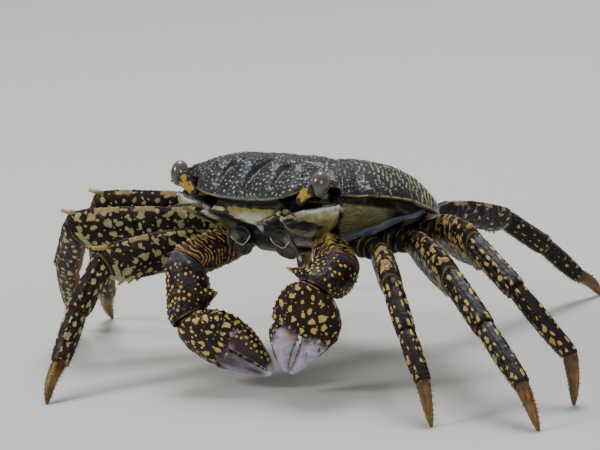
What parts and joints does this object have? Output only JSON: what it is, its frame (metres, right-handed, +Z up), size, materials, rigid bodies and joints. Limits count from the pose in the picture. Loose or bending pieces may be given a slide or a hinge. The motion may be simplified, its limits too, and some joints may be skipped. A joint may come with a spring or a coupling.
{
  "type": "shore crab",
  "caption": "Life-size shore crab standing on its walking legs, nose raised, both claws held low in front with their tips almost meeting.",
  "frame": {"origin": "on the floor, under the middle of the bounding box", "axes": "+Z up from the floor the feet stand on; the crab faces -Y; +X toward its left side"},
  "size_m": [0.1656, 0.1292, 0.0525],
  "materials": {
    "shell": "wet shell, blue-grey black with fine pale yellow flecks",
    "underbody": "wet shell, olive yellow and cream with brown patches and a blue-grey band",
    "flap": "smooth pale olive shell",
    "leg": "wet shell, purple-black with cream-yellow spots",
    "toe": "ochre orange shell set with small spines",
    "claw": "wet shell, purple-brown with cream-yellow spots",
    "finger": "smooth pale lavender shell, brown at the toothed edge",
    "eye": "smooth glossy grey-brown",
    "eyestalk": "dark shell with a yellow patch",
    "mouthpart": "pale edged dark shell",
    "feeler": "thin dark ringed feeler"
  },
  "bodies": {
    "root": {"abdomen_flap": "flap", "antenna_left": "feeler", "antenna_right": "feeler", "carapace": "shell", "claw_left_carpus": "claw", "claw_left_finger": "finger", "claw_left_merus": "claw", "claw_left_palm": "claw", "claw_right_carpus": "claw", "claw_right_finger": "finger", "claw_right_merus": "claw", "claw_right_palm": "claw", "eye_left": "eye", "eye_right": "eye", "eyestalk_left": "eyestalk", "eyestalk_right": "eyestalk", "leg_2_left_carpus": "leg", "leg_2_left_dactylus": "toe", "leg_2_left_merus": "leg", "leg_2_left_propodus": "leg", "leg_2_right_carpus": "leg", "leg_2_right_dactylus": "toe", "leg_2_right_merus": "leg", "leg_2_right_propodus": "leg", "leg_3_left_carpus": "leg", "leg_3_left_dactylus": "toe", "leg_3_left_merus": "leg", "leg_3_left_propodus": "leg", "leg_3_right_carpus": "leg", "leg_3_right_dactylus": "toe", "leg_3_right_merus": "leg", "leg_3_right_propodus": "leg", "leg_4_left_carpus": "leg", "leg_4_left_dactylus": "toe", "leg_4_left_merus": "leg", "leg_4_left_propodus": "leg", "leg_4_right_carpus": "leg", "leg_4_right_dactylus": "toe", "leg_4_right_merus": "leg", "leg_4_right_propodus": "leg", "leg_5_left_carpus": "leg", "leg_5_left_dactylus": "toe", "leg_5_left_merus": "leg", "leg_5_left_propodus": "leg", "leg_5_right_carpus": "leg", "leg_5_right_dactylus": "toe", "leg_5_right_merus": "leg", "leg_5_right_propodus": "leg", "maxilliped_left": "mouthpart", "maxilliped_right": "mouthpart", "trunk": "underbody"}
  },
  "joints": []
}
